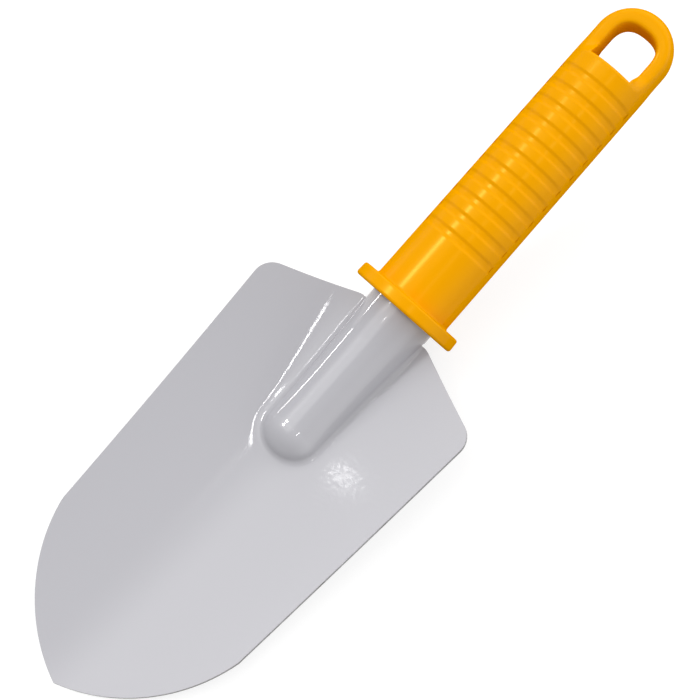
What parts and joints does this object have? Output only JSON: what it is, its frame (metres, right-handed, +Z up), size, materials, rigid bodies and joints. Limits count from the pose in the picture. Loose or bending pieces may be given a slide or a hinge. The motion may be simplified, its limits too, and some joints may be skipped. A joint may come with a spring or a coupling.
{
  "type": "garden trowel",
  "caption": "Hand trowel with a dished sheet steel blade, half-round ridge and tang in a grooved plastic handle with a guard and a hanging loop.",
  "frame": {"origin": "middle of the footprint, on the surface that the trowel lies on", "axes": "the trowel lies on its back as it rests on a table: +Y from the blade's point towards the hanging loop, +Z up, +X across the blade; the handle rises 18.7 degrees from the guard to the loop"},
  "size_m": [0.089, 0.2774, 0.064],
  "materials": {
    "blade_paint": "gloss white paint on sheet steel",
    "handle_plastic": "semi-gloss orange-yellow moulded plastic"
  },
  "bodies": {
    "root": {"blade": "blade_paint", "handle": "handle_plastic"}
  },
  "joints": []
}
